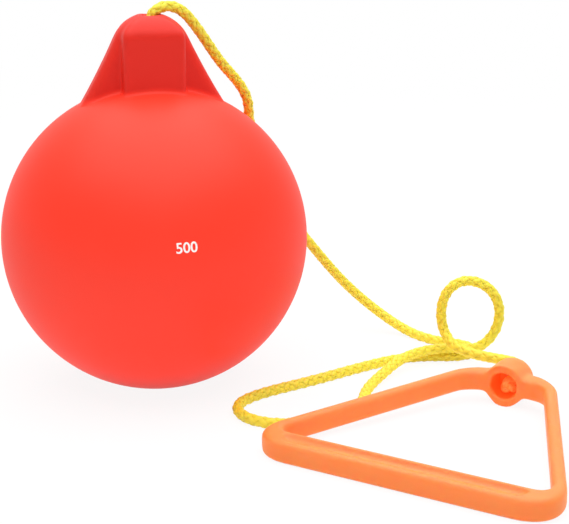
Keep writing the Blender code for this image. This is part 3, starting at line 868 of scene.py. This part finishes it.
def ball_form(name, radius=BALL_RADIUS, mesh=BALL_MESH):
    """A sphere about the ball's centre."""
    return add_primitive(
        "uv_sphere", name, segments=mesh[0], ring_count=mesh[1], radius=radius * MM,
        location=(0.0, 0.0, BALL_CENTRE_Z * MM),
    )


def slice_at(obj, height, keep_above, fill):
    """Cuts an object level at a height, in mm, and keeps one side."""
    in_edit_mode(obj)
    bpy.ops.mesh.select_all(action="SELECT")
    bpy.ops.mesh.bisect(
        plane_co=(0.0, 0.0, height * MM), plane_no=(0.0, 0.0, 1.0), use_fill=fill,
        clear_inner=keep_above, clear_outer=not keep_above,
    )
    bpy.ops.object.mode_set(mode="OBJECT")
    return obj


def settle_on_sphere(obj):
    """Lays the skin exactly on the ball again wherever it strays less than a hair from it."""
    centre = np.array((0.0, 0.0, BALL_CENTRE_Z * MM))
    points = points_of(obj)
    offset = points - centre
    reach = np.linalg.norm(offset, axis=1)
    stray = reach - BALL_RADIUS * MM
    share = np.clip((np.abs(stray) - SETTLE_WITHIN * MM) / (SETTLE_FADE * MM), 0.0, 1.0)
    eased = share * share * (3 - 2 * share)
    settled = BALL_RADIUS * MM + stray * eased
    points[:] = centre + offset * (settled / reach)[:, None]
    obj.data.vertices.foreach_set("co", points.ravel())
    obj.data.update()


def melt_cap(neck):
    """Relaxes the cap's edge and corners into one soft pillow, and leaves the rope's hole as it is."""

    def share_of_cap(x, y, z):
        up = (z - DOME_EDGE_Z) / CAP_MELT_BELOW + 1.0
        out = (math.hypot(x, y) - NECK_MOUTH_RADIUS) / CAP_MELT_BELOW - 0.5
        return min(up, out)

    melt_where(neck, "cap", share_of_cap, CAP_MELT_ROUNDS)


def mark_painted_neck_shade(ball):
    """Marks the neck, which stands proud of the ball, for the painted shade that its finish draws as a darker
    red.
    """
    reach = np.linalg.norm(points_of(ball) - (0.0, 0.0, BALL_CENTRE_Z * MM), axis=1)
    keep_share(ball, "thick_wall", np.clip((reach / MM - BALL_RADIUS) / NECK_PAINTED_SHADE_FADE, 0.0, 1.0))


def ball_skin(finish):
    """The ball and its neck in one moulding, with the rope's hole, the socket under it and the hollow."""
    top = slice_at(ball_form("ball_top"), NECK_FOOT_Z, True, True)
    neck = join(neck_form(), top)
    modify(neck, "REMESH", mode="VOXEL", voxel_size=NECK_VOXEL * MM)
    mouth = add_primitive(
        "cone", "mouth", vertices=64, radius1=NECK_BORE_RADIUS * MM,
        radius2=(NECK_MOUTH_RADIUS + NECK_MOUTH_SPREAD) * MM, depth=NECK_MOUTH_DEPTH * MM,
        location=(0.0, 0.0, DOME_TOP_Z * MM),
    )
    cut(neck, mouth)
    bore = add_primitive(
        "cylinder", "bore", vertices=64, radius=NECK_BORE_RADIUS * MM, depth=NECK_BORE_LENGTH * MM,
        location=(0.0, 0.0, (DOME_TOP_Z - NECK_BORE_DROP) * MM),
    )
    cut(neck, bore)
    soften(neck, NECK_VOXEL, NECK_ROUNDS)
    melt_cap(neck)
    settle_on_sphere(neck)
    slice_at(neck, SHOULDER_Z, True, False)
    neck.name = "ball_moulding"
    lower = slice_at(ball_form("ball_lower"), SHOULDER_Z, False, False)
    slice_at(lower, 0.0, True, True)
    ball = join(neck, lower)
    mesh = in_edit_mode(ball)
    pick(ball, mesh, "edges", lambda e: e.is_boundary)
    bpy.ops.mesh.bridge_edge_loops()
    bpy.ops.mesh.select_all(action="SELECT")
    bpy.ops.mesh.normals_make_consistent(inside=False)
    bpy.ops.object.mode_set(mode="OBJECT")
    inner = ball_form("hollow", BALL_RADIUS - BALL_WALL, HOLLOW_MESH)
    socket_foot = BALL_CENTRE_Z + BALL_RADIUS - BALL_WALL - SOCKET_OVERLAP
    socket = add_primitive(
        "cylinder", "socket", vertices=60, radius=SOCKET_RADIUS * MM,
        depth=(SOCKET_ROOF_Z - socket_foot) * MM,
        location=(0.0, 0.0, (SOCKET_ROOF_Z + socket_foot) / 2 * MM),
    )
    cut(inner, socket, "UNION")
    modify(ball, "TRIANGULATE")
    cut(ball, inner)
    modify(ball, "WELD", merge_threshold=SLIVER * MM)
    mark_painted_neck_shade(ball)
    ball.data.shade_smooth()
    ball.data.set_sharp_from_angle(angle=SHARP_FROM)
    wear(ball, finish)
    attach(ball, "ball")
    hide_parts("ball_shell")


def number_mark(finish):
    """The plain number printed on the ball: thin raised letters that follow its round."""
    data = bpy.data.curves.new("number_mark", "FONT")
    data.body = MARK_TEXT
    data.align_x = "CENTER"
    data.align_y = "CENTER"
    data.size = MARK_SIZE * MM
    data.offset = MARK_BOLDNESS * MM
    data.extrude = MARK_REACH * MM
    data.resolution_u = 8
    mark = bpy.data.objects.new("number_mark", data)
    bpy.context.scene.collection.objects.link(mark)
    select_only(mark)
    bpy.ops.object.convert(target="MESH")
    centre = Vector((0.0, 0.0, BALL_CENTRE_Z))
    outward = (Vector(MARK_AT) - centre).normalized()
    turned = outward.to_track_quat("Z", "Y").to_matrix().to_4x4() @ Matrix.Rotation(MARK_TURN, 4, "Z")
    mark.data.transform(Matrix.Translation((outward * BALL_RADIUS + centre) * MM) @ turned)
    cut(mark, ball_form("print_outside", BALL_RADIUS + MARK_THICKNESS), "INTERSECT")
    cut(mark, ball_form("print_inside", BALL_RADIUS - 3 * MARK_THICKNESS))
    wear(mark, finish)
    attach(mark, "ball")


def rays_that_show_it(tree):
    """The rays in which the white background is seen: straight, in a reflection or through something."""
    path = add_node(tree, "ShaderNodeLightPath").outputs
    larger = {"operation": "MAXIMUM"}
    seen = add_node(tree, "ShaderNodeMath", larger, _0=path["Is Camera Ray"], _1=path["Is Glossy Ray"])
    return add_node(
        tree, "ShaderNodeMath", larger, _0=seen.outputs[0], _1=path["Is Transmission Ray"],
    ).outputs[0]


def white_floor():
    """A matt white floor that carries the object's shadow and fades to plain white further away.

    It lights the object faintly from below, as a lit table does.
    """
    floor = add_primitive("plane", "floor", size=FLOOR_SIZE)
    made, tree = new_material("white floor")
    plain = add_node(tree, "ShaderNodeBsdfDiffuse", Color=linear("#FCFCFC")).outputs[0]
    glow = add_node(tree, "ShaderNodeEmission", Color=PLAIN_WHITE, Strength=1.0).outputs[0]
    away = add_node(tree, "ShaderNodeVectorMath", {"operation": "LENGTH"}, _0=spot(tree)).outputs["Value"]
    share = add_node(
        tree, "ShaderNodeMapRange", {"interpolation_type": "SMOOTHSTEP"},
        Value=away, From_Min=FLOOR_FADE[0], From_Max=FLOOR_FADE[1], To_Min=FLOOR_GLOW, To_Max=1.0,
    ).outputs["Result"]
    seen = add_node(tree, "ShaderNodeMixShader", _0=share, _1=plain, _2=glow).outputs[0]
    uplight = add_node(tree, "ShaderNodeEmission", Color=PLAIN_WHITE, Strength=FLOOR_UPLIGHT).outputs[0]
    lit = add_node(tree, "ShaderNodeAddShader", _0=plain, _1=uplight).outputs[0]
    shown = rays_that_show_it(tree)
    finish_material(tree, add_node(tree, "ShaderNodeMixShader", _0=shown, _1=lit, _2=seen))
    wear(floor, made)


def white_world():
    """A plain white backdrop that lights the object only a little from all round."""
    world = bpy.data.worlds.new("studio")
    bpy.context.scene.world = world
    world.use_nodes = True
    tree = world.node_tree
    tree.nodes.clear()
    seen = add_node(tree, "ShaderNodeBackground", Color=PLAIN_WHITE, Strength=1.0).outputs[0]
    lit = add_node(tree, "ShaderNodeBackground", Color=PLAIN_WHITE, Strength=WORLD_LIGHT).outputs[0]
    mixed = add_node(tree, "ShaderNodeMixShader", _0=rays_that_show_it(tree), _1=lit, _2=seen)
    add_node(tree, "ShaderNodeOutputWorld", Surface=mixed.outputs[0])


def overhead_lamp():
    """A square lamp that shines straight down."""
    data = bpy.data.lights.new("overhead", "AREA")
    data.size = LAMP_SIZE
    data.energy = LAMP_WATTS
    lamp = bpy.data.objects.new("overhead", data)
    bpy.context.scene.collection.objects.link(lamp)
    lamp.location = LAMP_PLACE


set_camera()
# The yarn's first colour is the painted shade in its creases; the other two are its filaments.
yarn = polypropylene_plait("polypropylene plait", "#F2B51C", "#F0D62C", "#FFF04A")
line = rope_line()
rope = plait("plaited_rope", line, ROPE_DIAMETER)
wear(rope, yarn)
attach(rope, "rope")
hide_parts("rope")

# The knots: one stands in the neck, and one lies low in the boss. That one is painted orange with a faint
# painted glow, standing in for the light that comes through the boss's plastic.
upright = Matrix.Translation((0.0, 0.0, BALL_KNOT["middle"]))
ball_knot = tie_knot("ball_stop_knot", BALL_KNOT, upright, yarn)
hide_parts("ball_knot")
in_mm = Matrix.Translation(HANDLE_FRAME.translation / MM) @ HANDLE_FRAME.to_3x3().to_4x4()
resting = Matrix.Translation((0.0, HANDLE_KNOT["middle"], -HANDLE_KNOT_SAG))
lying = in_mm @ resting @ Matrix.Rotation(-math.pi / 2, 4, "X")
knot_painted_glow = polypropylene_plait(
    "backlit polypropylene plait", "#E8581C", "#F58A3C", "#FF9E4E", KNOT_GLOW,
)
handle_knot = tie_knot("handle_stop_knot", HANDLE_KNOT, lying, knot_painted_glow)
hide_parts("handle_knot")

# The pieces of the part that keep their own mesh. The boss's washer closes the recess; it wears the handle's
# orange and the recess's painted glow at full, standing in for light through the plastic.
orange = moulded_polyethylene()
for name, finish in (
    ("sand_fill", dry_sand()),
    ("neck_plug", black_rubber()),
    ("ball_washer", zinc_steel()),
    ("handle_washer", orange),
):
    wear(nodes[name], finish)
boss_washer = nodes["handle_washer"]
keep_share(boss_washer, "inside_recess", np.ones(len(boss_washer.data.vertices)))

ball_skin(moulded_vinyl())
number_mark(print_ink())
handle_skin(orange)
white_floor()
white_world()
overhead_lamp()
